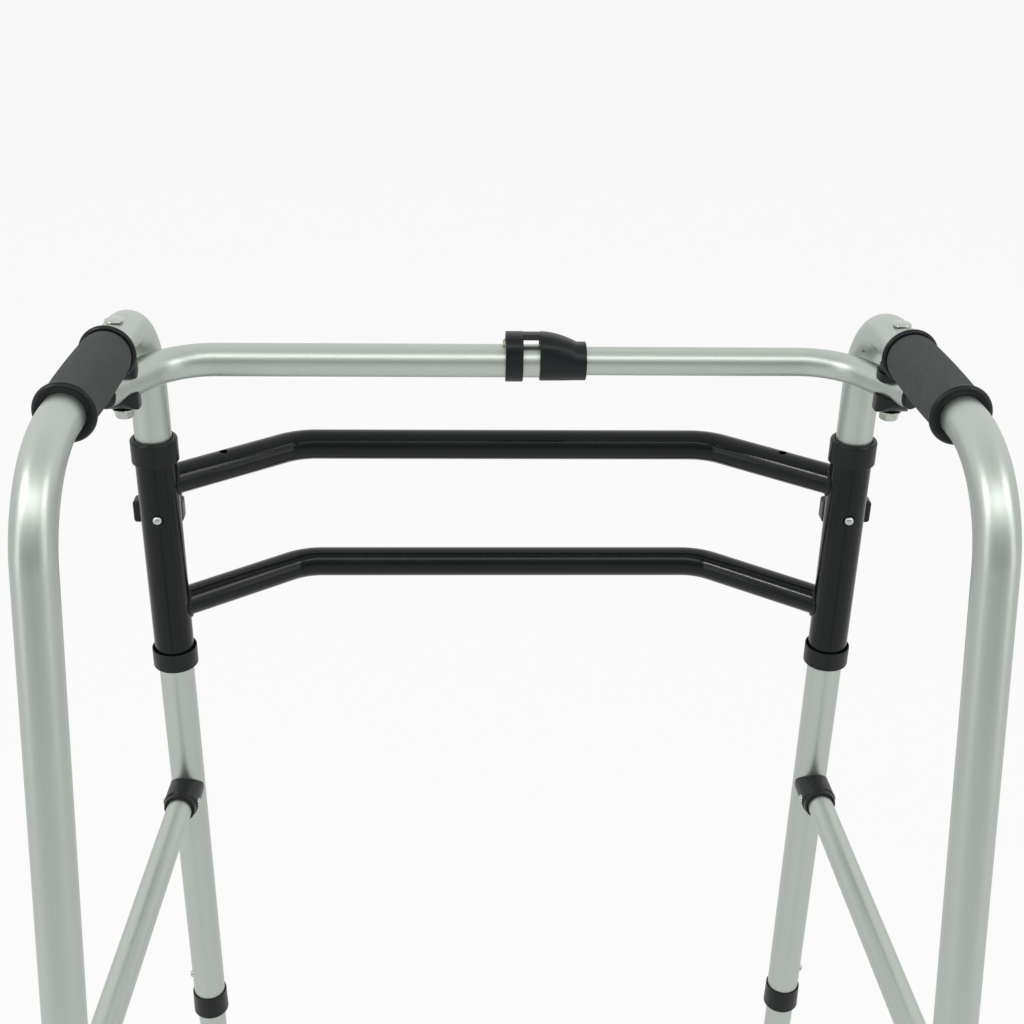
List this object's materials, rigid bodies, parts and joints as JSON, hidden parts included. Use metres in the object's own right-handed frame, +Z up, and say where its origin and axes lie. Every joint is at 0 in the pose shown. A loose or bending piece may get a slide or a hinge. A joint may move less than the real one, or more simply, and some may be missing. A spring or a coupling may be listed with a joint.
{
  "type": "reciprocal walker",
  "caption": "Tall tubular walking frame with foam grips; its side frames swing in turn in sleeves on a front frame, tied by a telescopic latching top bar, on height-adjustable legs.",
  "frame": {"origin": "on the floor, in the middle of the walker's outer box", "axes": "+X to the user's right, +Y forwards, the way the user faces and walks, +Z up"},
  "size_m": [0.567, 0.5337, 0.9085],
  "materials": {
    "anodised_tube": "satin anodised",
    "black_paint": "glossy powder coat",
    "black_plastic": "satin moulded",
    "grip_foam": "closed-cell foam, matt",
    "zinc_steel": "zinc plated",
    "spring_wire": "bright wire",
    "nylon": "natural nylon",
    "foot_rubber": "moulded rubber"
  },
  "bodies": {
    "frame": {"left_sleeve": "black_paint", "right_sleeve": "black_paint", "upper_crossbar": "black_paint", "lower_crossbar": "black_paint", "left_bottom_collar": "black_plastic", "right_bottom_collar": "black_plastic"},
    "left_turn": {"left_top_collar": "black_plastic"},
    "right_turn": {"right_top_collar": "black_plastic"},
    "left_side": {"left_side_tube": "anodised_tube", "left_grip_sleeve": "black_plastic", "left_grip_foam": "grip_foam", "left_side_brace": "anodised_tube", "left_front_brace_saddle": "black_plastic", "left_rear_brace_saddle": "black_plastic", "left_front_leg_bushing": "black_plastic", "left_rear_leg_bushing": "black_plastic"},
    "right_side": {"right_side_tube": "anodised_tube", "right_grip_sleeve": "black_plastic", "right_grip_foam": "grip_foam", "right_side_brace": "anodised_tube", "right_front_brace_saddle": "black_plastic", "right_rear_brace_saddle": "black_plastic", "right_front_leg_bushing": "black_plastic", "right_rear_leg_bushing": "black_plastic", "right_pivot_bolt": "zinc_steel", "right_pivot_spacer": "black_plastic"},
    "left_stop": {"left_stop_clip": "black_plastic", "left_stop_pin": "zinc_steel"},
    "right_stop": {"right_stop_clip": "black_plastic", "right_stop_pin": "zinc_steel"},
    "left_front_leg": {"left_front_leg_tube": "anodised_tube", "left_front_rubber_tip": "foot_rubber"},
    "left_rear_leg": {"left_rear_leg_tube": "anodised_tube", "left_rear_rubber_tip": "foot_rubber"},
    "right_front_leg": {"right_front_leg_tube": "anodised_tube", "right_front_rubber_tip": "foot_rubber"},
    "right_rear_leg": {"right_rear_leg_tube": "anodised_tube", "right_rear_rubber_tip": "foot_rubber"},
    "left_front_button": {"left_front_height_button": "zinc_steel"},
    "left_rear_button": {"left_rear_height_button": "zinc_steel"},
    "right_front_button": {"right_front_height_button": "zinc_steel"},
    "right_rear_button": {"right_rear_height_button": "zinc_steel"},
    "bar_bolt": {"left_pivot_bolt": "zinc_steel"},
    "bar_nut": {"left_pivot_nut": "zinc_steel"},
    "bar_outer": {"bar_outer_tube": "anodised_tube", "left_bar_plug": "black_plastic", "bar_mouth_bush": "black_plastic", "left_upper_saddle": "black_plastic", "left_lower_saddle": "black_plastic", "latch_spring": "spring_wire"},
    "bar_guide_slide": {"bar_guide": "nylon"},
    "bar_inner": {"bar_inner_tube": "anodised_tube", "right_bar_plug": "black_plastic", "right_upper_saddle": "black_plastic", "right_lower_saddle": "black_plastic", "right_pivot_nut": "zinc_steel"},
    "latch": {"latch_lever": "black_plastic", "latch_pin": "zinc_steel"}
  },
  "joints": [
    {"name": "step", "type": "hinge", "parent": "frame", "child": "left_turn", "pos_m": [-0.245, 0.1878, 0.7], "axis": [0, 0, 1], "range_deg": [-6.5, 6.5]},
    {"name": "step_right", "type": "hinge", "parent": "frame", "child": "right_turn", "pos_m": [0.245, 0.1878, 0.7], "axis": [0, 0, 1], "range_deg": [-6.5, 6.5]},
    {"name": "left_fold", "type": "hinge", "parent": "left_turn", "child": "left_side", "pos_m": [-0.245, 0.1878, 0.7], "axis": [0, 0, 1], "range_deg": [0, 86]},
    {"name": "right_fold", "type": "hinge", "parent": "right_turn", "child": "right_side", "pos_m": [0.245, 0.1878, 0.7], "axis": [0, 0, -1], "range_deg": [0, 74]},
    {"name": "bar_bolt_turn", "type": "hinge", "parent": "left_side", "child": "bar_bolt", "pos_m": [-0.2477, 0.12586, 0.86], "axis": [0, 0, 1], "range_deg": [-6.5, 6.5]},
    {"name": "bar_nut_turn", "type": "hinge", "parent": "bar_bolt", "child": "bar_nut", "pos_m": [-0.2477, 0.12586, 0.86], "axis": [0, 0, 1], "range_deg": [-94.5, 0]},
    {"name": "bar_swing", "type": "hinge", "parent": "bar_nut", "child": "bar_outer", "pos_m": [-0.2477, 0.12586, 0.86], "axis": [0, 0, 1], "range_deg": [0, 5]},
    {"name": "bar_guide_travel", "type": "slide", "parent": "bar_outer", "child": "bar_guide_slide", "axis": [-1, 0, 0], "range_m": [0, 0.062]},
    {"name": "bar_telescope", "type": "slide", "parent": "bar_guide_slide", "child": "bar_inner", "axis": [-1, 0, 0], "range_m": [0, 0.061]},
    {"name": "latch_press", "type": "hinge", "parent": "bar_outer", "child": "latch", "pos_m": [0.047, 0.1688, 0.8607], "axis": [0, -1, 0], "range_deg": [0, 4.6], "stiffness_Nm_per_rad": 1.5, "springref_deg": -5.73, "deforming": ["latch_spring"]},
    {"name": "left_stop_pull", "type": "slide", "parent": "frame", "child": "left_stop", "axis": [0, 1, 0], "range_m": [0, 0.034]},
    {"name": "right_stop_pull", "type": "slide", "parent": "frame", "child": "right_stop", "axis": [0, 1, 0], "range_m": [0, 0.034]},
    {"name": "left_front_leg_slide", "type": "slide", "parent": "left_side", "child": "left_front_leg", "axis": [0, 0, 1], "range_m": [0, 0.1524]},
    {"name": "left_rear_leg_slide", "type": "slide", "parent": "left_side", "child": "left_rear_leg", "axis": [0.0091, 0.2077, 0.9781], "range_m": [0, 0.1558]},
    {"name": "right_front_leg_slide", "type": "slide", "parent": "right_side", "child": "right_front_leg", "axis": [0, 0, 1], "range_m": [0, 0.1524]},
    {"name": "right_rear_leg_slide", "type": "slide", "parent": "right_side", "child": "right_rear_leg", "axis": [-0.0091, 0.2077, 0.9781], "range_m": [0, 0.1558]},
    {"name": "left_front_button_press", "type": "slide", "parent": "left_front_leg", "child": "left_front_button", "axis": [0.999, -0.0436, 0], "range_m": [0, 0.0036], "stiffness_N_per_m": 1000, "springref_m": -0.002},
    {"name": "left_rear_button_press", "type": "slide", "parent": "left_rear_leg", "child": "left_rear_button", "axis": [0.999, -0.0436, 0], "range_m": [0, 0.0036], "stiffness_N_per_m": 1000, "springref_m": -0.002},
    {"name": "right_front_button_press", "type": "slide", "parent": "right_front_leg", "child": "right_front_button", "axis": [-0.999, -0.0436, 0], "range_m": [0, 0.0036], "stiffness_N_per_m": 1000, "springref_m": -0.002},
    {"name": "right_rear_button_press", "type": "slide", "parent": "right_rear_leg", "child": "right_rear_button", "axis": [-0.999, -0.0436, 0], "range_m": [0, 0.0036], "stiffness_N_per_m": 1000, "springref_m": -0.002}
  ],
  "couplings": [
    {"joint": "step_right", "follows": "step", "ratio": 1},
    {"joint": "bar_bolt_turn", "follows": "step", "ratio": -1},
    {"joint": "bar_nut_turn", "follows": "left_fold", "ratio": -1.0925},
    {"joint": "bar_swing", "follows": "right_fold", "ratio": 0.0658},
    {"joint": "bar_guide_travel", "follows": "left_fold", "m_per_rad": 0.04107},
    {"joint": "bar_telescope", "follows": "right_fold", "m_per_rad": 0.04667}
  ]
}
